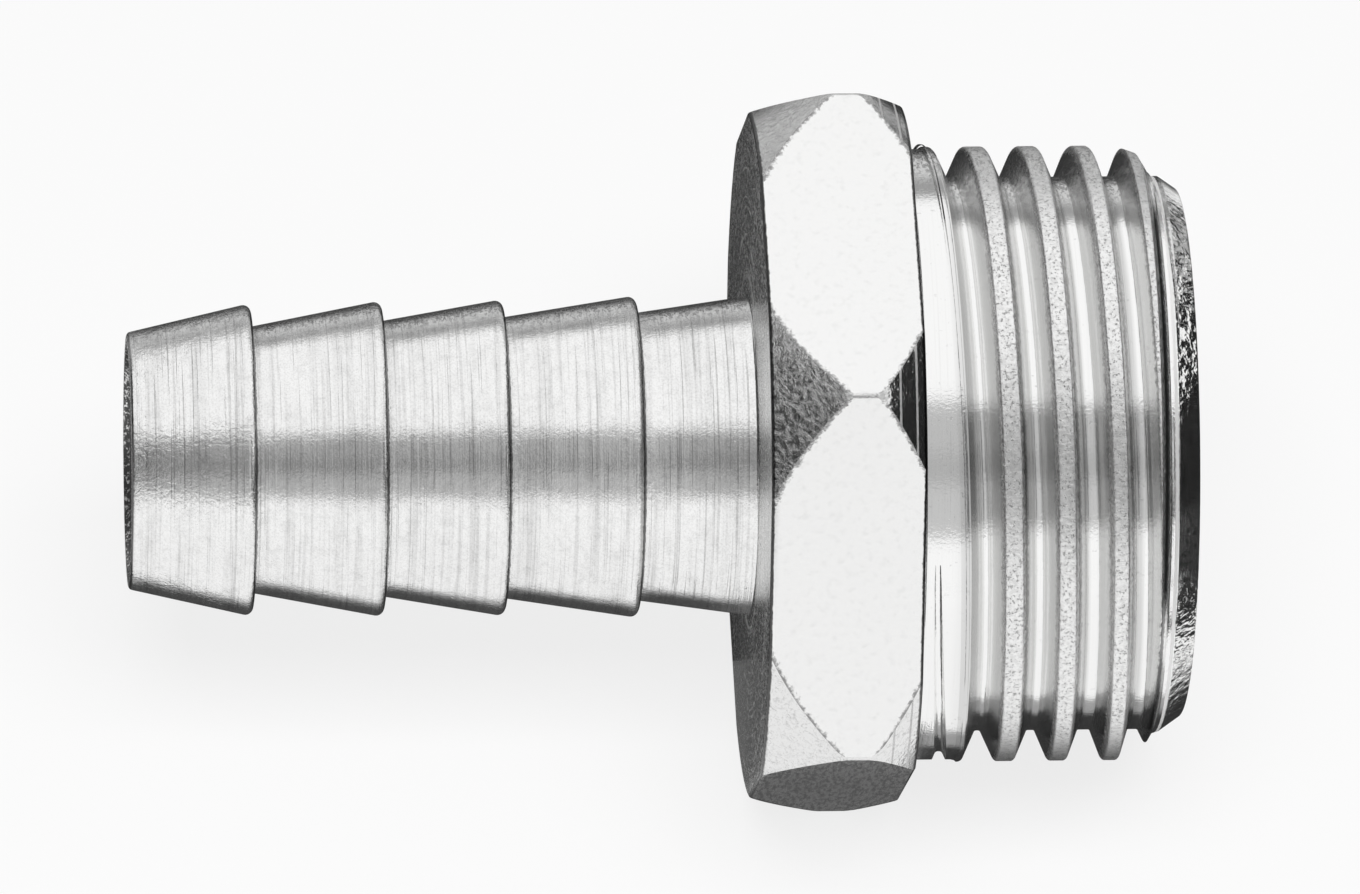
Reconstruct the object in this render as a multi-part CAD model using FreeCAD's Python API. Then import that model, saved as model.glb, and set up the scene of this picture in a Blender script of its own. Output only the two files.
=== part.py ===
import FreeCAD, Part
import math
import os

# Hose barb tail: barbed spigot, spanner hexagon and parallel male pipe thread, turned in one piece.
#
# Millimetres.  The axis of the tail lies along X: the thread points to +X, the barbs to -X, +Z is up.
# The origin is on the axis, in the flat shoulder of the hexagon that faces the thread, and one flat
# of the hexagon faces straight down, as the tail comes to rest on a bench.

# Barbed spigot, from its free end to the hexagon
spigot_end_dia = 8.81            # outside, at the free end
spigot_end_bevel = 0.15
barb_lengths = (4.17, 4.48, 4.16, 4.56)
barb_crest_dias = (10.74, 10.82, 10.79, 10.97)   # before the crests are bevelled
barb_root_dias = (9.11, 9.38, 9.56, 9.79)        # just behind each crest
barb_crest_bevel = 0.28
neck_length = 3.76               # from the last barb to the hexagon
neck_end_dia = 10.87             # where the neck meets the hexagon
neck_root_bevel = 0.12

# Hexagon
hex_across_flats = 22.75
hex_length = 5.21
hex_corner_round = 0.12
barb_chamfer_depth = 1.45        # radial, at the hexagon's corners, on the side of the barbs
barb_chamfer_angle = 29.0        # between the chamfer's side and the axis
thread_chamfer_depth = 1.18      # the same two, on the side of the thread
thread_chamfer_angle = 36.5

# Parallel pipe thread, 14 turns to the inch
thread_major_dia = 20.95
thread_pitch = 25.4 / 14
thread_depth = 1.05
thread_crest_flat = 0.60
thread_root_flat = 0.24
thread_length = 9.42             # from the shoulder to the end face
thread_end_depth = 1.55          # radial, of the chamfer at the end face
thread_end_angle = 33.2          # between that chamfer's side and the axis
thread_end_bevel = 0.15
shank_root_bevel = 0.12

# Where the groove fades out towards the hexagon
runout_start = 0.38              # from the shoulder to the groove's first faint trace
runout_clock_angle = 154.0       # of that trace, about +X, counted from +Y towards +Z
runout_turn = 0.68               # part of a turn from that trace to the full depth

# Waterway
bore_dia = 7.00
spigot_mouth_chamfer = 0.35
thread_mouth_chamfer = 0.50

# Distance by which a cutting tool stands clear of the metal
tool_reach = 0.30
fade_reach = 0.04

AXIS = FreeCAD.Vector(1, 0, 0)
ORIGIN = FreeCAD.Vector(0, 0, 0)
SPIGOT_END = -(hex_length + neck_length + sum(barb_lengths))


def rise(run, degrees):
    """Radial rise of a cone over a run along the axis."""
    return run * math.tan(math.radians(degrees))


def turned(outline):
    """Solid of revolution about X from an outline's corners, each given as (x, radius, bevel).

    A bevel takes off a corner by the same length along both of its sides.
    """
    corners = [FreeCAD.Vector(x, 0, radius) for x, radius, bevel in outline]
    points = []
    for index, (x, radius, bevel) in enumerate(outline):
        corner = corners[index]
        if bevel:
            to_before = (corners[index - 1] - corner).normalize()
            to_after = (corners[(index + 1) % len(corners)] - corner).normalize()
            points.extend([corner + to_before * bevel, corner + to_after * bevel])
        else:
            points.append(corner)
    points.append(points[0])
    return Part.Face(Part.makePolygon(points)).revolve(ORIGIN, AXIS, 360)


def spigot():
    """Barbed spigot and plain neck, up to the hexagon's face."""
    x = SPIGOT_END
    outline = [(x, 0, 0), (x, spigot_end_dia / 2, spigot_end_bevel)]
    for length, crest_dia, root_dia in zip(barb_lengths, barb_crest_dias, barb_root_dias):
        x += length
        outline.append((x, crest_dia / 2, barb_crest_bevel))
        outline.append((x, root_dia / 2, 0))
    outline.append((-hex_length - neck_root_bevel, neck_end_dia / 2, 0))
    outline.append((-hex_length, neck_end_dia / 2 + neck_root_bevel, 0))
    outline.append((-hex_length, 0, 0))
    return turned(outline)


def chamfer_cone(corner_radius, depth, angle, face_x, direction):
    """Cone that leaves a flat face on the hexagon and takes off its corners to a depth."""
    face_radius = corner_radius - depth
    far_radius = face_radius + rise(hex_length, angle)
    return Part.makeCone(face_radius, far_radius, hex_length, AXIS * face_x, AXIS * direction)


def hexagon():
    """Hexagon bar between its two flat faces, with both ends turned to a chamfer."""
    corner_radius = hex_across_flats / 2 / math.cos(math.radians(30))
    corners = []
    for index in range(7):
        angle = math.radians(60 * index)
        y = corner_radius * math.cos(angle)
        z = corner_radius * math.sin(angle)
        corners.append(FreeCAD.Vector(-hex_length, y, z))
    bar = Part.Face(Part.makePolygon(corners)).extrude(AXIS * hex_length)
    long_edges = [edge for edge in bar.Edges if abs(edge.tangentAt(edge.FirstParameter).x) > 0.9]
    bar = bar.makeFillet(hex_corner_round, long_edges)
    barb_cone = chamfer_cone(corner_radius, barb_chamfer_depth, barb_chamfer_angle, -hex_length, 1)
    thread_cone = chamfer_cone(corner_radius, thread_chamfer_depth, thread_chamfer_angle, 0, -1)
    return bar.common(barb_cone).common(thread_cone)


def groove_section(x, angle, root_radius):
    """Thread groove's section in the half-plane at a clock angle, with its root at a radius."""
    flank_run = (thread_pitch - thread_crest_flat - thread_root_flat) / 2
    height = thread_depth + tool_reach
    half_root = thread_root_flat / 2
    half_top = half_root + flank_run * height / thread_depth
    outwards = FreeCAD.Vector(0, math.cos(math.radians(angle)), math.sin(math.radians(angle)))
    points = []
    for along, out in [(-half_root, 0), (half_root, 0), (half_top, height), (-half_top, height)]:
        points.append(AXIS * (x + along) + outwards * (root_radius + out))
    points.append(points[0])
    return Part.makePolygon(points)


def helix(x, angle, radius, travel, flare, towards_hexagon):
    """Right-hand helix about X from a start point, opening by a flare angle as it travels.

    A flaring helix is made by lengths along its cone's side, so these are longer than along X.
    """
    side = 1 / math.cos(math.radians(flare))
    path = Part.makeHelix(thread_pitch * side, travel * side, radius, flare)
    path.rotate(ORIGIN, FreeCAD.Vector(0, 1, 0), -90 if towards_hexagon else 90)
    start = path.Vertexes[0].Point
    start_angle = math.degrees(math.atan2(start.z, start.y))
    path.rotate(ORIGIN, AXIS, angle - start_angle)
    path.translate(AXIS * x)
    return Part.Wire(path.Edges)


def thread_groove():
    """Groove as cutters: one for each turn at full depth, and one where it fades out."""
    root_radius = thread_major_dia / 2 - thread_depth
    fade_travel = thread_pitch * runout_turn
    x = runout_start + fade_travel
    angle = runout_clock_angle + 360 * runout_turn
    section = groove_section(x, angle, root_radius)

    turn_path = helix(x, angle, root_radius, thread_pitch, 0, False)
    cutters = []
    for index in range(math.ceil((thread_length - x) / thread_pitch) + 1):
        turn = turn_path.makePipeShell([section], True, True)
        turn.translate(AXIS * thread_pitch * index)
        cutters.append(turn)

    flare = math.degrees(math.atan(thread_depth / fade_travel))
    clear_travel = fade_travel * (thread_depth + fade_reach) / thread_depth
    fade_path = helix(x, angle, root_radius, clear_travel, flare, True)
    cutters.append(fade_path.makePipeShell([section], True, True))
    return cutters


def threaded_shank():
    """Stub with its root bevel, end chamfer and thread."""
    crest_radius = thread_major_dia / 2
    chamfer_length = thread_end_depth / rise(1, thread_end_angle)
    shank = turned([
        (0, 0, 0),
        (0, crest_radius + shank_root_bevel, 0),
        (shank_root_bevel, crest_radius, 0),
        (thread_length - chamfer_length, crest_radius, 0),
        (thread_length, crest_radius - thread_end_depth, thread_end_bevel),
        (thread_length, 0, 0),
    ])
    for cutter in thread_groove():
        shank = shank.cut(cutter)
    return shank


def waterway():
    """Bore right through, with both mouths chamfered."""
    radius = bore_dia / 2
    return turned([
        (SPIGOT_END - tool_reach, 0, 0),
        (SPIGOT_END - tool_reach, radius + spigot_mouth_chamfer + tool_reach, 0),
        (SPIGOT_END + spigot_mouth_chamfer, radius, 0),
        (thread_length - thread_mouth_chamfer, radius, 0),
        (thread_length + tool_reach, radius + thread_mouth_chamfer + tool_reach, 0),
        (thread_length + tool_reach, 0, 0),
    ])


def hose_tail():
    body = hexagon().fuse([spigot(), threaded_shank()])
    return body.cut(waterway()).removeSplitter().Solids[0]


os.makedirs("parts", exist_ok=True)
tail = hose_tail()
tail.exportStep("parts/hose_tail.step")
print("valid", tail.isValid(), "faces", len(tail.Faces), "volume", round(tail.Volume, 1))
print("length", round(thread_length - SPIGOT_END, 2), "mass centre at x", round(tail.CenterOfMass.x, 2))
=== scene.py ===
import math

import bpy
from mathutils import Matrix, Vector


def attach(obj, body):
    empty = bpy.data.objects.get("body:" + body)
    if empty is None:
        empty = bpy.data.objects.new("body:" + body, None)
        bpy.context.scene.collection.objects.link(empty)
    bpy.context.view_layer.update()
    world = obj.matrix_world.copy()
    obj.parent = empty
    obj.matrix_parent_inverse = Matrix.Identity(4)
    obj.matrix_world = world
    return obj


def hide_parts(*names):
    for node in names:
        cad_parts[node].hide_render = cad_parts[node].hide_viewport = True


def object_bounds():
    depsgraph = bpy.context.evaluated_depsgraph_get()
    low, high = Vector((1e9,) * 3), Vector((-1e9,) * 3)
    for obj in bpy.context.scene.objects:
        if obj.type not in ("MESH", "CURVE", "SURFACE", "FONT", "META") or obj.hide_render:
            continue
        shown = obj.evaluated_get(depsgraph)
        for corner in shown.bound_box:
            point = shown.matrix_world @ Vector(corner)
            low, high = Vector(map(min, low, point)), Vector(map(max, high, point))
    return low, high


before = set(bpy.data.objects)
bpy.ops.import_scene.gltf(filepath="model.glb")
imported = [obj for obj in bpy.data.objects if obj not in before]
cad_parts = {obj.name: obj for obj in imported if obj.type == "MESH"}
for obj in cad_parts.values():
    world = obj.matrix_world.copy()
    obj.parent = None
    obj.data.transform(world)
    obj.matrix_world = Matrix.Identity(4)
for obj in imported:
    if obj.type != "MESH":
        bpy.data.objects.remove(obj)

cad_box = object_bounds()

# The tail is modelled in millimetres about its own axis, which is X, and made its real size at the end.
MM = 0.001
HAIR_SHORT = 0.9999              # so that rounding can't carry the tail past the CAD part

# Spigot: barbs from the free end to the neck
SPIGOT_END_RADIUS = 4.36
SPIGOT_END_ROUND = 0.14
BARB_LENGTHS = (4.21, 4.45, 4.13, 4.53)
BARB_CREST_RADII = (5.33, 5.385, 5.395, 5.485)
BARB_ROOT_RADII = (4.53, 4.685, 4.78, 4.895)
BARB_CREST_ROUND = 0.25
BARB_ROOT_ROUND = 0.06
NECK_LENGTH = 3.81
NECK_END_RADIUS = 5.435
NECK_ROOT_ROUND = 0.10

# Hexagon
HEX_LENGTH = 5.21
HEX_ACROSS_FLATS = 22.75
HEX_CORNER_RADIUS = HEX_ACROSS_FLATS / 2 / math.cos(math.radians(30))
FLAT_ANGLES = [math.radians(60 * index + 30) for index in range(6)]
BARB_CHAMFER_DEPTH = 1.45
BARB_CHAMFER_ANGLE = 29.0
BARB_FACE_RADIUS = HEX_CORNER_RADIUS - BARB_CHAMFER_DEPTH
THREAD_CHAMFER_DEPTH = 1.18
THREAD_CHAMFER_ANGLE = 36.5
THREAD_FACE_RADIUS = HEX_CORNER_RADIUS - THREAD_CHAMFER_DEPTH
HEX_EDGE_ROUND = 0.11
HEX_EDGE_STEPS = 4
HEX_CORNER_ROUND = 1.5           # where a chamfer runs out at the corners

# Threaded shank
CREST_RADIUS = 10.475
SHANK_LENGTH = 9.42
SHANK_ROOT_BEVEL = 0.12
LAND_RADIUS = 10.40
LAND_LENGTH = 1.6
LAND_RISE = 0.3                  # length over which the land rises to the crests
END_CHAMFER_DEPTH = 1.48
END_ROUND = 0.13

# Where the crests end, the ridge of the last turn and its foot on the end chamfer: (x, radius, round)
LAST_RIDGE = (
    (7.20, CREST_RADIUS, 0),
    (7.40, 10.45, 0),
    (8.04, 10.22, 0.1),
    (8.40, 9.60, 0.05),
    (8.68, 9.51, 0.05),
)

# Thread groove
PITCH = 25.4 / 14                # 14 turns to the inch
THREAD_DEPTH = 1.05
FLANK_ANGLE = 24.5
ROOT_HALF_WIDTH = 0.11
GROOVE_HALF_WIDTH = ROOT_HALF_WIDTH + THREAD_DEPTH * math.tan(math.radians(FLANK_ANGLE))
ROOT_ROUND = 0.13
CREST_ROUND = 0.15
CREST_ROUND_REACH = 1.6          # times its size
CREST_CLEARANCE = 0.012          # of the groove's tool above the crests
GROOVE_TURNS = 6

# The groove fades out towards the hexagon, from RUNOUT_X and the clock angle of its first trace
RUNOUT_X = 0.38
RUNOUT_CLOCK = 154.0
RUNOUT_TURNS = 0.68
RUNOUT_LIFT = 0.94
RUNOUT_LEAD = 0.012              # turns by which the tool starts before that trace
TRACE_SHIFT = 0.13               # of the trace towards the thread's end
FADING_SHIFT = 0.50              # at most, FADING_TURN after the trace
FADING_TURN = 0.2

# After its first turn the groove grows wider, until its far side turns back beside the last ridge
WIDENING = 0.50
WIDENING_TURNS = 3.2
WIDENING_POWER = 1.7
WIDENING_SHARES = (0.2, 0.5)     # at the crests and at the root
TURNING_BACK = (3.55, 3.8)       # turns
TURNED_BACK = 1.2                # of the widening

# Raised lip beside the first full groove, in turns from the trace and in millimetres
LIP_START = 0.5
LIP_THINNING = (0.66, 0.95)
LIP_WIDTHS = (0.36, 0.18)        # before and after it thins
LIP_HEIGHT = 0.19
LIP_DROP = 0.06                  # after it thins
LIP_EDGE_DEPTH = 0.02            # of its edges in the land
LIP_FOOT_DEPTH = 0.2
LIP_GAP = 0.03                   # from the groove
LIP_MIDDLE = 0.4                 # of its width
LIP_STEPS = 6

# Waterway
BORE_RADIUS = 3.5
SPIGOT_MOUTH = 0.35
THREAD_MOUTH = 0.50

# How finely the round forms are divided, and how far a tool or a joined part reaches past a face
RING_STEPS = 300
ROUND_STEPS = 6
LAND_RINGS = 16
TURN_STEPS = 180
MERGE_WITHIN = 0.0005
SMOOTH_ANGLE = 22
REACH = 0.4

# Places along the axis that follow from the lengths
SPIGOT_END_X = -(HEX_LENGTH + NECK_LENGTH + sum(BARB_LENGTHS))
BARB_ENDS = [SPIGOT_END_X + sum(BARB_LENGTHS[:count]) for count in (1, 2, 3, 4)]


def tangent(degrees):
    """Tangent of an angle in degrees."""
    return math.tan(math.radians(degrees))


def rounded(outline):
    """Points of an outline of corners (x, radius, round), with each round as an arc."""
    points = []
    for index, (x, radius, size) in enumerate(outline):
        corner = Vector((x, radius))
        if not size:
            points.append(corner)
            continue
        before = Vector(outline[index - 1][:2]) - corner
        after = Vector(outline[(index + 1) % len(outline)][:2]) - corner
        half = before.angle(after) / 2
        reach = size / math.tan(half)
        start = corner + before.normalized() * reach
        end = corner + after.normalized() * reach
        centre = corner + (before.normalized() + after.normalized()).normalized() * size / math.sin(half)
        sweep = (start - centre).angle_signed(end - centre)
        for step in range(ROUND_STEPS + 1):
            arm = (start - centre).copy()
            arm.rotate(Matrix.Rotation(-sweep * step / ROUND_STEPS, 2))
            points.append(centre + arm)
    return points


def chain(name, points):
    """Wire through points (x, radius) in the upright plane of the axis, left in edit mode."""
    bpy.ops.object.select_all(action="DESELECT")
    bpy.ops.mesh.primitive_plane_add(size=1, location=(points[0][0], 0, points[0][1]))
    wire = bpy.context.object
    wire.name = name
    bpy.ops.object.mode_set(mode="EDIT")
    bpy.ops.mesh.select_mode(type="VERT")
    bpy.ops.mesh.merge(type="CENTER")
    for here, there in zip(points, points[1:]):
        step = (there[0] - here[0], 0, there[1] - here[1])
        bpy.ops.mesh.extrude_region_move(TRANSFORM_OT_translate={"value": step})
    return wire


def settle(piece):
    """Merged, closed and turned outwards, with its place in its mesh."""
    bpy.ops.mesh.select_all(action="SELECT")
    bpy.ops.mesh.remove_doubles(threshold=MERGE_WITHIN)
    bpy.ops.mesh.normals_make_consistent(inside=False)
    bpy.ops.object.mode_set(mode="OBJECT")
    bpy.ops.object.transform_apply(location=True, rotation=True, scale=True)
    return piece


def turned(name, outline):
    """Solid turned about the axis from an outline that starts and ends on it."""
    piece = chain(name, rounded(outline))
    bpy.ops.mesh.select_all(action="SELECT")
    bpy.ops.mesh.spin(steps=RING_STEPS, angle=math.tau, center=(0, 0, 0), axis=(1, 0, 0))
    return settle(piece)


def only(piece):
    """Makes a piece the one that the next operators work on."""
    bpy.ops.object.select_all(action="DESELECT")
    piece.select_set(True)
    bpy.context.view_layer.objects.active = piece


def combine(piece, tool, operation):
    """Joins or cuts a piece with a tool, which is used up."""
    only(piece)
    bpy.ops.object.modifier_add(type="BOOLEAN")
    change = piece.modifiers[-1]
    change.operation = operation
    change.solver = "MANIFOLD"
    change.object = tool
    bpy.ops.object.modifier_apply(modifier=change.name)
    bpy.data.objects.remove(tool)
    return piece


def spigot():
    """Barbs and neck, with a stub that reaches into the hexagon."""
    x = SPIGOT_END_X
    outline = [(x, 0, 0), (x, SPIGOT_END_RADIUS, SPIGOT_END_ROUND)]
    for length, crest, root in zip(BARB_LENGTHS, BARB_CREST_RADII, BARB_ROOT_RADII):
        x += length
        outline.append((x, crest, BARB_CREST_ROUND))
        outline.append((x, root, BARB_ROOT_ROUND))
    outline.append((-HEX_LENGTH, NECK_END_RADIUS, NECK_ROOT_ROUND))
    outline.append((-HEX_LENGTH, NECK_END_RADIUS + REACH, 0))
    outline.append((-HEX_LENGTH / 2, NECK_END_RADIUS, 0))
    outline.append((-HEX_LENGTH / 2, 0, 0))
    return turned("spigot", outline)


def hexagon():
    """Hexagon with softened edges, inside a turned blank that gives it its chamfers."""
    barb_run = BARB_CHAMFER_DEPTH / tangent(BARB_CHAMFER_ANGLE)
    thread_run = THREAD_CHAMFER_DEPTH / tangent(THREAD_CHAMFER_ANGLE)
    blank = turned("hexagon", [
        (-HEX_LENGTH, 0, 0),
        (-HEX_LENGTH, BARB_FACE_RADIUS, HEX_EDGE_ROUND),
        (-HEX_LENGTH + barb_run, HEX_CORNER_RADIUS, HEX_CORNER_ROUND),
        (-thread_run, HEX_CORNER_RADIUS, HEX_CORNER_ROUND),
        (0, THREAD_FACE_RADIUS, HEX_EDGE_ROUND),
        (0, 0, 0),
    ])
    bpy.ops.object.select_all(action="DESELECT")
    bpy.ops.mesh.primitive_cylinder_add(vertices=6, radius=HEX_CORNER_RADIUS, depth=HEX_LENGTH,
                                        location=(-HEX_LENGTH / 2, 0, 0),
                                        rotation=(0, math.radians(90), 0))
    bar = bpy.context.object
    bpy.ops.object.transform_apply(location=True, rotation=True)
    bpy.ops.object.modifier_add(type="BEVEL")
    soften = bar.modifiers[-1]
    soften.width = HEX_EDGE_ROUND
    soften.segments = HEX_EDGE_STEPS
    bpy.ops.object.modifier_apply(modifier=soften.name)
    return combine(blank, bar, "INTERSECT")


def shank():
    """Shank before its thread is cut, with the land divided so that the groove fades out evenly in it."""
    land = [(SHANK_ROOT_BEVEL + step / LAND_RINGS * (LAND_LENGTH - SHANK_ROOT_BEVEL), LAND_RADIUS, 0)
            for step in range(LAND_RINGS + 1)]
    return turned("shank", [
        (-HEX_LENGTH / 2, 0, 0),
        (-HEX_LENGTH / 2, CREST_RADIUS - REACH, 0),
        (-REACH, CREST_RADIUS - REACH, 0),
        (0, LAND_RADIUS + SHANK_ROOT_BEVEL, 0),
        *land,
        (LAND_LENGTH + LAND_RISE, CREST_RADIUS, 0),
        *LAST_RIDGE,
        (SHANK_LENGTH, CREST_RADIUS - END_CHAMFER_DEPTH, END_ROUND),
        (SHANK_LENGTH, 0, 0),
    ])


def helical(name, section, start_turns, turns):
    """Closed bar with a section of points (x, radius) swept along the thread."""
    bar = chain(name, section)
    bpy.ops.mesh.select_all(action="SELECT")
    bpy.ops.mesh.edge_face_add()
    bpy.ops.mesh.select_all(action="SELECT")
    bpy.ops.mesh.delete(type="ONLY_FACE")
    bpy.ops.object.mode_set(mode="OBJECT")
    bpy.ops.object.transform_apply(location=True)
    bpy.ops.object.modifier_add(type="SCREW")
    sweep = bar.modifiers[-1]
    sweep.axis = "X"
    sweep.angle = math.tau
    sweep.screw_offset = PITCH
    sweep.iterations = turns
    sweep.steps = TURN_STEPS
    sweep.render_steps = TURN_STEPS
    bpy.ops.object.modifier_apply(modifier=sweep.name)
    bpy.ops.object.mode_set(mode="EDIT")
    bpy.ops.mesh.select_all(action="SELECT")
    bpy.ops.mesh.fill_holes(sides=0)
    bpy.ops.mesh.select_all(action="SELECT")
    bpy.ops.mesh.normals_make_consistent(inside=False)
    bpy.ops.object.mode_set(mode="OBJECT")
    bar.location.x = PITCH * start_turns
    bar.rotation_euler.x = math.radians(RUNOUT_CLOCK - 90 + 360 * start_turns)
    bpy.ops.object.transform_apply(location=True, rotation=True)
    return bar


def blend(value, low, high):
    """0 below low, 1 above high, smooth between."""
    share = min(max((value - low) / (high - low), 0), 1)
    return share * share * (3 - 2 * share)


def groove_shift(turn):
    """How far the fading groove lies towards the thread's end, by turns from its first trace."""
    there = blend(turn, 0, FADING_TURN)
    back = blend(turn, FADING_TURN, RUNOUT_TURNS)
    return TRACE_SHIFT + (FADING_SHIFT - TRACE_SHIFT) * there - FADING_SHIFT * back


def widening(turn, depth, side):
    """How far a side of the groove moves along the axis, by turns and by a share of the full depth."""
    at_crest, at_root = WIDENING_SHARES
    spread = WIDENING * (max(turn - 1, 0) / WIDENING_TURNS) ** WIDENING_POWER
    spread *= at_crest + (at_root - at_crest) * depth
    if side < 0:
        return -spread
    return spread * (1 - TURNED_BACK * blend(turn, *TURNING_BACK))


def push_out(vertex, distance):
    """Moves a vertex straight away from the axis."""
    vertex.co += Vector((0, vertex.co.y, vertex.co.z)).normalized() * distance


def groove_tool():
    """Helical bar of the groove's section, faded out towards the hexagon and wider in its last turns."""
    root = CREST_RADIUS - THREAD_DEPTH
    half_top = GROOVE_HALF_WIDTH + CREST_ROUND * CREST_ROUND_REACH
    above = CREST_RADIUS + CREST_CLEARANCE
    section = rounded([
        (-ROOT_HALF_WIDTH, root, ROOT_ROUND),
        (ROOT_HALF_WIDTH, root, ROOT_ROUND),
        (GROOVE_HALF_WIDTH, CREST_RADIUS, CREST_ROUND),
        (half_top, above, 0),
        (half_top, above + REACH, 0),
        (-half_top, above + REACH, 0),
        (-half_top, above, 0),
        (-GROOVE_HALF_WIDTH, CREST_RADIUS, CREST_ROUND),
    ])
    placed = [(x + RUNOUT_X, radius) for x, radius in section]
    tool = helical("groove_tool", placed, -RUNOUT_LEAD, GROOVE_TURNS)
    for index, vertex in enumerate(tool.data.vertices):
        turn, corner = divmod(index, len(section))
        turn = turn / TURN_STEPS - RUNOUT_LEAD
        x, radius = section[corner]
        depth = min(max((CREST_RADIUS - radius) / THREAD_DEPTH, 0), 1)
        vertex.co.x += widening(turn, depth, x) + groove_shift(turn)
        push_out(vertex, RUNOUT_LIFT * max(1 - turn / RUNOUT_TURNS, 0))
    return tool


def lip():
    """Raised edge that the tool threw up beside the first full groove, wide at first and then thin."""
    arc = [math.radians(180 / LIP_STEPS * step) for step in range(LIP_STEPS + 1)]
    edge = LAND_RADIUS - LIP_EDGE_DEPTH
    section = [(-math.cos(angle) / 2, edge + math.sin(angle) * LIP_HEIGHT) for angle in arc]
    section.append((0, LAND_RADIUS - LIP_FOOT_DEPTH))
    bar = helical("lip", section, LIP_START, 1)
    wide, narrow = LIP_WIDTHS
    for index, vertex in enumerate(bar.data.vertices):
        turn, corner = divmod(index, len(section))
        turn = LIP_START + turn / TURN_STEPS
        thin = blend(turn, *LIP_THINNING)
        width = wide + (narrow - wide) * thin
        groove_edge = RUNOUT_X + PITCH * turn - GROOVE_HALF_WIDTH
        vertex.co.x = groove_edge - LIP_GAP - width * LIP_MIDDLE + section[corner][0] * width
        push_out(vertex, -LIP_DROP * thin)
    return bar


def threaded_shank():
    """Shank with the lip joined on and then the groove cut."""
    stub = shank()
    combine(stub, lip(), "UNION")
    return combine(stub, groove_tool(), "DIFFERENCE")


def waterway():
    """Tool for the bore and its two chamfered mouths."""
    wide = BORE_RADIUS + REACH
    return turned("waterway", [
        (SPIGOT_END_X - REACH, 0, 0),
        (SPIGOT_END_X - REACH, wide + SPIGOT_MOUTH, 0),
        (SPIGOT_END_X + SPIGOT_MOUTH, BORE_RADIUS, 0),
        (SHANK_LENGTH - THREAD_MOUTH, BORE_RADIUS, 0),
        (SHANK_LENGTH + REACH, wide + THREAD_MOUTH, 0),
        (SHANK_LENGTH + REACH, 0, 0),
    ])


def hose_tail():
    """The whole tail as one closed piece, its real size."""
    tail = spigot()
    combine(tail, hexagon(), "UNION")
    combine(tail, threaded_shank(), "UNION")
    combine(tail, waterway(), "DIFFERENCE")
    only(tail)
    bpy.ops.object.mode_set(mode="EDIT")
    bpy.ops.mesh.select_all(action="SELECT")
    size = MM * HAIR_SHORT
    bpy.ops.transform.resize(value=(size, size, size), center_override=(0, 0, 0))
    bpy.ops.object.mode_set(mode="OBJECT")
    bpy.ops.object.shade_smooth_by_angle(angle=math.radians(SMOOTH_ANGLE))
    return tail


class Value:
    """A number socket in a tree of nodes, for which Python's operators add Math nodes."""

    def __init__(self, nodes, socket):
        self.nodes = nodes
        self.socket = socket

    def math(self, operation, *others):
        made = self.nodes.node("ShaderNodeMath", {"operation": operation}, self, *others)
        return Value(self.nodes, made.outputs[0])

    def __add__(self, other):
        return self.math("ADD", other)

    __radd__ = __add__

    def __mul__(self, other):
        return self.math("MULTIPLY", other)

    __rmul__ = __mul__

    def __sub__(self, other):
        return self.math("SUBTRACT", other)

    def __rsub__(self, other):
        return (self * -1) + other

    def __truediv__(self, other):
        return self.math("DIVIDE", other)

    def __abs__(self):
        return self.math("ABSOLUTE")

    def low(self, other):
        return self.math("MINIMUM", other)

    def high(self, other):
        return self.math("MAXIMUM", other)

    def step(self, start, end):
        """0 at start, 1 at end, smooth between; start may lie above end."""
        made = self.nodes.node("ShaderNodeMapRange", {"interpolation_type": "SMOOTHSTEP"},
                               Value=self, From_Min=start, From_Max=end)
        return Value(self.nodes, made.outputs["Result"])


class Nodes:
    """The nodes of a material or of the world, none at first."""

    def __init__(self, owner):
        owner.use_nodes = True
        self.tree = owner.node_tree
        self.tree.nodes.clear()

    def node(self, kind, settings=None, *in_order, **by_name):
        """Adds a node with its settings, and gives its sockets values or links, in order or by name."""
        made = self.tree.nodes.new(kind)
        for key, value in (settings or {}).items():
            setattr(made, key, value)
        sockets = list(zip(made.inputs, in_order))
        sockets += [(made.inputs[key.replace("_", " ")], value) for key, value in by_name.items()]
        for socket, value in sockets:
            if isinstance(value, Value):
                value = value.socket
            if isinstance(value, bpy.types.NodeSocket):
                self.tree.links.new(value, socket)
            else:
                socket.default_value = value
        return made


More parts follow.
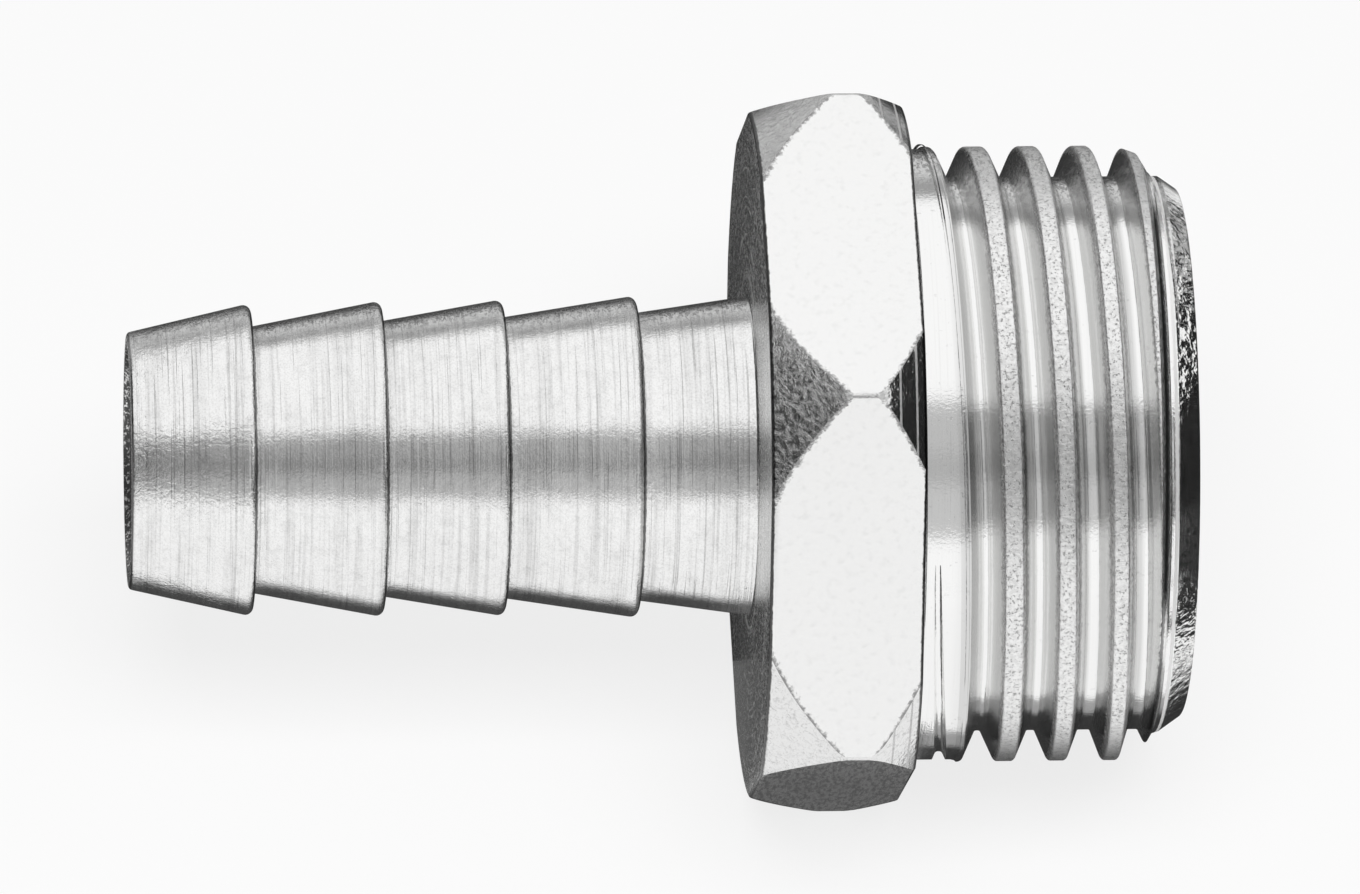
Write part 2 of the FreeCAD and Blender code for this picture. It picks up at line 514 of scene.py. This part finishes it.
class Finish(Nodes):
    """Plated metal with a pattern that is laid out over the tail in millimetres."""

    def __init__(self, name):
        self.material = bpy.data.materials.new(name)
        super().__init__(self.material)
        place = self.node("ShaderNodeTexCoord").outputs["Object"]
        place = self.node("ShaderNodeVectorMath", {"operation": "SCALE"}, Vector=place, Scale=1 / MM)
        self.place = place.outputs[0]
        parts = self.node("ShaderNodeSeparateXYZ", Vector=self.place)
        self.x, self.y, self.z = (Value(self, socket) for socket in parts.outputs)
        self.radius = (self.y * self.y + self.z * self.z).math("SQRT")

    def rear(self):
        """1 where the tail faces back or down, 0 where it faces forwards and up; the finishes paint shade
        there.
        """
        return (self.y.high(self.z * -1) / self.radius).step(0.3, 0.6)

    def noise_at(self, place, detail, rough, bend=0.0):
        """Noise with one grain for each unit of a place."""
        made = self.node("ShaderNodeTexNoise", Vector=place, Scale=1.0, Detail=detail,
                         Roughness=rough, Distortion=bend)
        return Value(self, made.outputs["Fac"])

    def noise(self, along, around, detail=2.0, rough=0.5, bend=0.0):
        """Noise with so many grains per millimetre along the axis and across it."""
        stretched = self.node("ShaderNodeVectorMath", {"operation": "MULTIPLY"},
                              self.place, (along, around, around))
        return self.noise_at(stretched.outputs[0], detail, rough, bend)

    def shade(self, tone, roughness, height, depth):
        """Ends the nodes with plated metal of a grey tone, and a relief of a depth in millimetres."""
        colour = self.node("ShaderNodeCombineColor", Red=tone, Green=tone, Blue=tone * PLATING_BLUE)
        bump = self.node("ShaderNodeBump", Strength=1.0, Distance=depth * MM, Height=height)
        metal = self.node("ShaderNodeBsdfPrincipled", Metallic=1.0, Roughness=roughness,
                          Base_Color=colour.outputs[0], Normal=bump.outputs[0])
        self.node("ShaderNodeOutputMaterial", Surface=metal.outputs[0])
        return self.material


PLATING_BLUE = 0.995             # times its grey tone

# Where the plating and the shade painted on it change along the axis: each pair is where a change starts
# and where it is complete
FIRST_BARB = (4.6, 3.4)          # from the spigot's end
DULL_FACE = (-3, -4)
PEBBLES = (-1.6, -1.3)           # on the thread's side of the hexagon's chamfer
# Where the painted shade on the thread's flanks starts
PAINTED_FLANK_SHADE = (0.9, 1.5)
CRESTS = (1.88, 1.96)            # beyond the land
PLAIN_FLANK = (7.0, 7.4)         # beside the last ridge, where the right flanks lose their painted shade
NARROW_GROOVE = (7.5, 7.7)
RIDGE_END = (8.10, 8.18)
# Where the painted shade line along the crests ends
CREST_EDGE_SHADE_END = (8.2, 8.3)

# Lines in the plating; the dark ones are painted shade, and the burr's brightness is partly a painted
# highlight
BARB_STEP_LEAD = 0.015           # of a barb's step line, painted as shade, before the end of its length
BRIGHT_LINES_X = -0.64           # midway between the two on the pebbled chamfer
BRIGHT_LINES_HALF_GAP = 0.29
CREST_EDGE = 0.535               # from the middle of the groove, where a line painted as shade runs along the crests' edges
# Painted shade line on the crests' left edges, from the middle of the groove
LEFT_CREST_SHADE = 0.49
# Painted shade line in the crease at the last ridge's foot
RIDGE_FOOT_X = 8.19
BURR_X = 8.59                    # rough burr on the end chamfer, its brightness partly a painted highlight
SMOOTH_STRETCH_Z = 5.8           # of the end chamfer


def turned_finish():
    """Bright barbs with fine turning lines, deeper scratches, dimples near the tips and painted shade at
    the steps.

    Where they face back or down they are pitted too, and the pits are painted darker there as shade.
    """
    f = Finish("turned_plating")
    from_end = f.x - SPIGOT_END_X
    fine = f.noise(8, 0.13, detail=3, rough=0.65)
    bands = f.noise(3, 0.15, detail=1)
    peel = f.noise(5, 5, detail=3, rough=0.65, bend=0.5)
    grain = f.noise(15, 12, detail=2, rough=0.8)
    mottle = f.noise(2.5, 2, detail=3, rough=0.7).step(0.45, 0.7)
    patches = f.noise(0.8, 0.5, detail=1).step(0.44, 0.58)
    scratches = f.noise(13, 0.11, detail=2, rough=0.7).step(0.58, 0.70)
    pits = f.noise(9, 2.5, detail=3, rough=0.8).step(0.48, 0.62) * f.rear()
    first_barb = from_end.step(*FIRST_BARB)
    tips = from_end.step(0.6, 0.1)
    # Painted shade lines at the spigot's end and at each barb's step, where the next barb rises
    steps = from_end.step(0.09, 0.04)
    for x in BARB_ENDS:
        tips = tips + abs(f.x - x).step(0.45, 0.1)
        steps = steps + (abs(f.x - x + BARB_STEP_LEAD) - (peel - 0.5) * 0.10).step(0.075, 0.04)
    relief = patches * 0.6 + tips * 1.1 + first_barb + 0.35
    height = fine + bands * 0.6 + peel * relief + grain * 0.6 - scratches * 0.4 - pits * 0.8
    tone = 0.92 - scratches * 0.17 - fine.step(0.48, 0.68) * 0.14 - bands.step(0.5, 0.66) * 0.06
    # The pits' darker tone is painted shade on the back and under sides.
    tone = tone - grain.step(0.42, 0.65) * 0.10 - mottle * 0.08 - pits * 0.35
    roughness = 0.12 + patches * 0.04 + tips * 0.05
    # The step lines darken the tone here as painted shade.
    return f.shade(tone * (1 - steps * 0.85), roughness, height, 0.010)


def flat_finish():
    """White, finely grained flats of the hexagon, with a ragged line painted dark as shade where the
    chamfers cut them, and specks below that are painted darker as shade.
    """
    f = Finish("flat_plating")
    from_neck_face = f.x + HEX_LENGTH
    from_shoulder = f.x * -1
    barb_chamfer = BARB_FACE_RADIUS + from_neck_face * tangent(BARB_CHAMFER_ANGLE)
    thread_chamfer = THREAD_FACE_RADIUS + from_shoulder * tangent(THREAD_CHAMFER_ANGLE)
    from_edge = (barb_chamfer.low(thread_chamfer) - f.radius).low(from_neck_face).low(from_shoulder)
    ragged = f.noise(5, 5, detail=3, rough=0.7)
    # Ragged line where the chamfers cut the flats: a dip in the relief, painted dark as shade
    edge = (from_edge - (ragged - 0.5) * 0.35).step(0.11, 0.0)
    under = f.z.step(0, -0.4)
    grain = f.noise(3.5, 3.5, detail=3, rough=0.6)
    specks = f.noise(8, 1.3, detail=3, rough=0.8)
    height = grain * (1.0 - f.z.step(4, 10) * 0.5) + specks * under * 2 - edge * 1.5
    # The chamfer line and the specks below the axis are painted shade.
    tone = 0.92 - edge * 0.6 - grain.step(0.5, 0.75) * 0.05 - specks.step(0.44, 0.58) * under * 0.5
    return f.shade(tone, 0.26, height, 0.008)


def chamfer_finish():
    """Turned chamfers of the hexagon and its softened edges, with strokes torn by the tool, and a ragged
    line at their rims painted dark as shade.

    The thread's side is pebbled instead, with two bright lines round it.
    """
    f = Finish("chamfer_plating")
    rings = f.noise(7, 0.3, detail=2, rough=0.6)
    torn = f.noise(4.5, 4.0, detail=4, rough=0.75, bend=1.5)
    pebbles = f.noise(7, 6, detail=2)
    thread_side = f.x.step(*PEBBLES)
    from_line = abs(abs(f.x - BRIGHT_LINES_X) - BRIGHT_LINES_HALF_GAP + (torn - 0.5) * 0.05)
    lines = from_line.step(0.05, 0.02)
    height = (rings * 0.3 + torn * 1.4) * (1 - thread_side) + pebbles * thread_side * 0.9
    ragged = f.noise(5, 5, detail=3, rough=0.7)
    # Ragged line painted dark as shade where the chamfers meet the hexagon's ends
    rim_shade = ((f.x + HEX_LENGTH).low(f.x * -1) - (ragged - 0.5) * 0.12).step(0.13, 0.08)
    tone = 0.82 - torn.step(0.48, 0.68) * 0.22
    return f.shade(tone * (1 - rim_shade * 0.88), 0.13 + lines * 0.5, height, 0.017)


def face_finish():
    """Faced ends and shoulders with rings about the axis, and with dull spots on the barbs' side."""
    f = Finish("faced_plating")
    place = f.node("ShaderNodeCombineXYZ", X=f.radius * 9, Y=f.y * 0.12, Z=f.z * 0.12)
    rings = f.noise_at(place.outputs[0], detail=3, rough=0.7)
    specks = f.noise(8, 8, detail=3, rough=0.8)
    marks = rings.step(0.56, 0.62) * specks.step(0.42, 0.52)
    dull = specks.step(0.56, 0.62) * f.x.step(*DULL_FACE)
    return f.shade(0.66 + dull * 0.3, 0.14 + marks * 0.6 + dull * 0.55, rings + specks * 1.2, 0.016)


def thread_finish():
    """Shank and thread: smooth grooves drawn along the turns, and stippled crests with ragged edges.

    Where they face back or down they are coarser and painted darker as shade; painted shade also darkens
    the flanks, lines along the crests and the ridge's foot, and the burr carries a painted highlight.
    """
    f = Finish("thread_plating")
    turn = f.z.math("ARCTAN2", f.y) / math.tau - RUNOUT_CLOCK / 360
    from_middle = (((f.x - RUNOUT_X) / PITCH - turn + 0.5).math("FRACT") - 0.5) * PITCH
    ragged = f.noise(5, 5, detail=4, rough=0.75)
    threaded = f.x.step(*CRESTS)
    apart = abs(from_middle) + (ragged - 0.5) * 0.26 + f.x.step(*NARROW_GROOVE) * 0.08
    crest = apart.step(0.51, 0.56) * threaded
    # Painted shade lines along the crests' edges, darker on their left edges
    crest_edge_shade = abs(apart - CREST_EDGE).step(0.075, 0.02) * threaded * (1 - f.x.step(*CREST_EDGE_SHADE_END))
    torn = abs(apart - LEFT_CREST_SHADE).step(0.075, 0.045) * from_middle.step(0.05, -0.05) * threaded
    left_flank = from_middle.step(-0.05, -0.24) * (1 - crest)
    right_flank = from_middle.step(0.08, 0.28) * (1 - crest) * (1 - f.x.step(*PLAIN_FLANK))
    # Painted shade on the groove's flanks, deeper on the left ones
    flank_shade = (left_flank * 0.23 + right_flank * 0.08) * f.x.step(*PAINTED_FLANK_SHADE)
    # Painted shade line in the crease at the last ridge's foot
    foot = abs(f.x - RIDGE_FOOT_X + (ragged - 0.5) * 0.2).step(0.10, 0.05)
    # Rough line of the burr, raised to full white tone as a painted highlight
    burr_and_highlight = abs(f.x - BURR_X + (ragged - 0.5) * 0.08).step(0.07, 0.045)
    crest = crest * (1 - f.x.step(*RIDGE_END))

    stipple = f.noise(6, 6, detail=3, rough=0.75, bend=0.5)
    pits = f.noise(9, 9, detail=2, rough=0.7).step(0.57, 0.66)
    drawn = f.noise(14, 0.10, detail=3, rough=0.7)
    grit = f.noise(9, 9, detail=2, rough=0.7)
    specks = f.noise(5, 5, detail=2).step(0.66, 0.75)
    # Coarse pits on the sides that face back or down, painted darker there as shade
    coarse_and_painted_shade = f.noise(8, 2.5, detail=3, rough=0.8).step(0.48, 0.62) * f.rear()
    crest_height = crest * (stipple * 1.8 - pits + 0.8)
    groove_height = (1 - crest) * (drawn * 0.4 + grit * 0.45 - specks * 0.2)
    crest_drop = crest * (stipple.step(0.42, 0.62) * 0.16 + pits * 0.35)
    tone = 0.93 - flank_shade - crest_drop - specks * 0.08 - drawn.step(0.5, 0.8) * 0.06
    tone = tone * (1 - crest_edge_shade * 0.3) * (1 - torn * 0.5) * (1 - foot * 0.75) * (1 - coarse_and_painted_shade * 0.45)
    height = crest_height + groove_height - coarse_and_painted_shade * 0.8
    return f.shade(tone.high(burr_and_highlight), 0.12 + crest * 0.22 + burr_and_highlight * 0.5, height, 0.012)


def end_finish():
    """Coarse, speckled end chamfer of the thread, uneven apart from one smooth stretch."""
    f = Finish("end_plating")
    rings = f.noise(9, 0.25, detail=2, rough=0.7)
    specks = f.noise(5, 5, detail=4, rough=0.8, bend=0.6)
    lumps = f.noise(2.8, 2.8, detail=2) * abs(f.z - SMOOTH_STRETCH_Z).step(1.8, 2.8)
    tone = 0.88 - specks.step(0.5, 0.62) * 0.30
    return f.shade(tone, 0.13, rings * 0.3 + specks * 0.25 + lumps * 6, 0.016)


def bore_painted_shade_finish():
    """Drilled waterway and the spigot's mouth, dull and painted near black as the shade inside, with
    bright specks at the mouth.
    """
    f = Finish("bore_painted_shade")
    rings = f.noise(7, 0.15, detail=2, rough=0.6)
    specks = f.noise(6, 6, detail=3, rough=0.8).step(0.53, 0.60) * (f.x - SPIGOT_END_X).step(0.25, 0.12)
    # The near-black tone is painted shade inside the waterway; the dullness is its drilled finish.
    return f.shade(0.05 + rings * 0.08 + specks * 0.8, 0.42, rings, 0.02)


FINISHES = (
    turned_finish,
    flat_finish,
    chamfer_finish,
    face_finish,
    thread_finish,
    end_finish,
    bore_painted_shade_finish,
)

# How a face's place in millimetres, and its normal, tell which finish it gets
BORE_MARGIN = 0.02
NECK_MARGIN = 0.01
END_MARGIN = 0.05
END_ON = 0.99
END_CHAMFER_LEAN = 0.45
SQUARE_TO_FLAT = 0.9999
SIDE_ON = 0.001


def finish_of(face):
    """Finish of a face, by its place and its normal."""
    centre = face.center / MM
    radius = math.hypot(centre.y, centre.z)
    lean = face.normal.x
    if radius < BORE_RADIUS + BORE_MARGIN or (centre.x < 0 and radius < BORE_RADIUS + SPIGOT_MOUTH):
        return bore_painted_shade_finish
    if radius < BORE_RADIUS + THREAD_MOUTH or abs(lean) > END_ON:
        return face_finish
    if centre.x < -HEX_LENGTH - NECK_MARGIN:
        return turned_finish
    if centre.x < 0:
        square = max(face.normal.dot(Vector((0, math.cos(a), math.sin(a)))) for a in FLAT_ANGLES)
        return flat_finish if square > SQUARE_TO_FLAT and abs(lean) < SIDE_ON else chamfer_finish
    beyond_ridge = centre.x > LAST_RIDGE[-1][0] - END_MARGIN
    outside = radius > CREST_RADIUS - END_CHAMFER_DEPTH - END_MARGIN
    return end_finish if beyond_ridge and outside and lean > END_CHAMFER_LEAN else thread_finish


tail = hose_tail()
tail.name = "plated_tail"
tail.data.materials.clear()
for finish in FINISHES:
    tail.data.materials.append(finish())
for face in tail.data.polygons:
    face.material_index = FINISHES.index(finish_of(face))
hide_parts("hose_tail")
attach(tail, "root")

# Camera: where it stands from the origin, in degrees and metres, and how it is turned and aimed
CAMERA_ALONG = 4.38
CAMERA_HEIGHT = 51.327
CAMERA_ROLL = -0.479
CAMERA_DISTANCE = 0.6132
AIM_RIGHT = -0.0075134
AIM_UP = 0.0002555
CAMERA_LENS = 476.5
SENSOR_WIDTH = 36
CLIP_START = 0.05
CLIP_END = 20


def add_camera():
    """Camera that looks down at the tail from the front, across its axis."""
    along = math.radians(CAMERA_ALONG)
    height = math.radians(CAMERA_HEIGHT)
    roll = math.radians(CAMERA_ROLL)
    back = Vector((
        -math.sin(along),
        -math.cos(along) * math.cos(height),
        math.cos(along) * math.sin(height),
    ))
    level = Vector((1, 0, 0))
    level = (level - back * level.dot(back)).normalized()
    upright = back.cross(level)
    right = level * math.cos(roll) + upright * math.sin(roll)
    up = upright * math.cos(roll) - level * math.sin(roll)
    stand = back * CAMERA_DISTANCE
    aim = right * AIM_RIGHT + up * AIM_UP
    away = (stand - aim).normalized()
    right = (right - away * right.dot(away)).normalized()
    turn = Matrix((right, away.cross(right), away)).transposed()
    camera = bpy.data.objects.new("camera", bpy.data.cameras.new("camera"))
    bpy.context.collection.objects.link(camera)
    camera.data.sensor_width = SENSOR_WIDTH
    camera.data.lens = CAMERA_LENS
    camera.data.clip_start = CLIP_START
    camera.data.clip_end = CLIP_END
    camera.matrix_world = Matrix.Translation(stand) @ turn.to_4x4()
    bpy.context.scene.camera = camera


add_camera()

# Floor and studio, in metres
FLOOR_SIZE = 6
FLOOR_WHITE = 0.8                # share of plain white in what is seen of the floor
PAPER_TONE = 0.9
WORLD_LIGHT = 0.3                # strength with which the world lights matt surfaces

# Softbox in front of the tail and above it, turned outwards by its angle from straight above
LAMP_WATTS = 5.4
LAMP_SIZE = (0.5, 0.4)
LAMP_FRONT = 0.28
LAMP_HEIGHT = 0.7

# Cards bent round the axis in front: angles in degrees above the horizon, and the strengths of the four
# cards side by side between FRONT_EDGES
CARD_DISTANCE = 0.5
ARC_STEPS = 24
FRONT_EDGES = (-0.8, -0.38, -0.06, 0.13, 0.5)
FRONT_CARDS = (
    (20, 40, (0.14, 0.44, 0.58, 0.25)),
    (40, 52, (0.05, 0.24, 0.455, 0.14)),
    (52, 71, (0.09, 0.35, 0.53, 0.20)),
)

# Cards that lie on the floor: name, left, right, front, rear, lift in millimetres, strength
FLOOR_CARDS = (
    ("far_floor_card", -0.5, 0.5, 0.045, 0.5, 0.02, 0.62),
    ("spigot_soft_shade", -0.036, -0.006, -0.0068, 0.05, 0.03, 0.35),
    ("spigot_shade", -0.033, -0.006, -0.0054, 0.045, 0.04, 0.07),
    ("thread_soft_shade", -0.006, 0.018, -0.012, 0.05, 0.03, 0.35),
    ("thread_shade", -0.006, 0.015, -0.0092, 0.045, 0.04, 0.04),
    ("hexagon_shade", -0.0062, 0.001, -0.0135, 0.0, 0.05, 0.135),
    ("right_near_shade", 0.024, 0.12, -0.035, 0.08, 0.03, 0.04),
    ("right_middle_shade", 0.06, 0.12, -0.08, -0.035, 0.03, 0.04),
    ("right_far_shade", 0.12, 0.5, -0.17, 0.2, 0.03, 0.04),
)


def seen(nodes):
    """1 for what the camera sees, straight or in polished or clear surfaces, and 0 for what lights."""
    path = nodes.node("ShaderNodeLightPath")
    rays = [Value(nodes, path.outputs[f"Is {kind} Ray"]) for kind in ("Camera", "Glossy", "Transmission")]
    return rays[0].high(rays[1]).high(rays[2])


def paper():
    """White paper that keeps shadows, and shows nearly white to the camera and in polished metal."""
    material = bpy.data.materials.new("paper")
    nodes = Nodes(material)
    matt = nodes.node("ShaderNodeBsdfDiffuse", Color=(PAPER_TONE, PAPER_TONE, PAPER_TONE, 1))
    white = nodes.node("ShaderNodeEmission")
    share = seen(nodes) * FLOOR_WHITE
    mixed = nodes.node("ShaderNodeMixShader", {}, share, matt.outputs[0], white.outputs[0])
    nodes.node("ShaderNodeOutputMaterial", Surface=mixed.outputs[0])
    return material


def add_card(name, card, strength):
    """Makes a flat or bent sheet a glowing studio card that only polished surfaces see."""
    card.name = name
    bpy.ops.object.transform_apply(location=True, rotation=True, scale=True)
    material = bpy.data.materials.new(name)
    nodes = Nodes(material)
    glow = nodes.node("ShaderNodeEmission", Strength=strength)
    nodes.node("ShaderNodeOutputMaterial", Surface=glow.outputs[0])
    card.data.materials.append(material)
    card.visible_camera = False
    card.visible_diffuse = False
    card.visible_shadow = False
    card.visible_transmission = False


def sheet(place, size, turn=0):
    """Plane at a place, turned about Y by degrees, with a size given before it is turned."""
    bpy.ops.object.select_all(action="DESELECT")
    bpy.ops.mesh.primitive_plane_add(size=1, location=place, rotation=(0, math.radians(turn), 0))
    plane = bpy.context.object
    plane.scale = (*size, 1)
    return plane


def arc_card(name, low, high, left, right, strength):
    """Card bent round the tail's axis between two angles above the front horizon."""
    start = math.radians(low)
    card = sheet((0, 0, 0), (1, 1))
    bpy.ops.object.mode_set(mode="EDIT")
    bpy.ops.mesh.select_mode(type="VERT")
    bpy.ops.mesh.merge(type="CENTER")
    place = (left, -CARD_DISTANCE * math.cos(start), CARD_DISTANCE * math.sin(start))
    bpy.ops.transform.translate(value=place)
    bpy.ops.mesh.extrude_region_move(TRANSFORM_OT_translate={"value": (right - left, 0, 0)})
    bpy.ops.mesh.select_all(action="SELECT")
    bpy.ops.mesh.spin(steps=ARC_STEPS, angle=math.radians(high - low), center=(0, 0, 0), axis=(1, 0, 0))
    bpy.ops.object.mode_set(mode="OBJECT")
    add_card(name, card, strength)


def side_card(name, x, front, rear, top, strength):
    """Upright card beside the tail, from the floor up."""
    place = (x, (front + rear) / 2, (floor_height + top) / 2)
    add_card(name, sheet(place, (top - floor_height, rear - front), 90), strength)


def floor_card(name, left, right, front, rear, lift, strength):
    """Card that lies on the floor, lifted a few hundredths of a millimetre."""
    place = ((left + right) / 2, (front + rear) / 2, floor_height + lift * MM)
    add_card(name, sheet(place, (right - left, rear - front)), strength)


def studio_world():
    """White all round, and dimmer where it lights matt surfaces, which the softbox lights too."""
    world = bpy.data.worlds.new("studio")
    nodes = Nodes(world)
    strength = WORLD_LIGHT + seen(nodes) * (1 - WORLD_LIGHT)
    background = nodes.node("ShaderNodeBackground", Color=(1, 1, 1, 1), Strength=strength)
    nodes.node("ShaderNodeOutputWorld", Surface=background.outputs[0])
    return world


def add_softbox():
    """Soft lamp that matt surfaces and shadows show, and polished metal doesn't."""
    lamp = bpy.data.lights.new("overhead_softbox", "AREA")
    lamp.shape = "RECTANGLE"
    lamp.size, lamp.size_y = LAMP_SIZE
    lamp.energy = LAMP_WATTS
    softbox = bpy.data.objects.new("overhead_softbox", lamp)
    bpy.context.collection.objects.link(softbox)
    softbox.location = (0, -LAMP_FRONT, LAMP_HEIGHT)
    softbox.rotation_euler = (-math.atan2(LAMP_FRONT, LAMP_HEIGHT), 0, 0)
    softbox.visible_glossy = False
    softbox.visible_camera = False


floor_height = cad_box[0].z
floor = sheet((0, 0, floor_height), (FLOOR_SIZE, FLOOR_SIZE))
floor.name = "floor"
bpy.ops.object.transform_apply(location=True, scale=True)
floor.data.materials.append(paper())

for low, high, strengths in FRONT_CARDS:
    for left, right, strength in zip(FRONT_EDGES, FRONT_EDGES[1:], strengths):
        arc_card("front_card", low, high, left, right, strength)
arc_card("back_grey_card", 164, 180, -0.8, 0.8, 0.34)
side_card("left_card", -0.5, -0.45, 0.9, 0.5, 0.06)
side_card("right_card", 0.5, -0.5, 0.42, 0.235, 0.02)
for card in FLOOR_CARDS:
    floor_card(*card)

bpy.context.scene.world = studio_world()
add_softbox()
bpy.context.scene.view_settings.view_transform = "Standard"
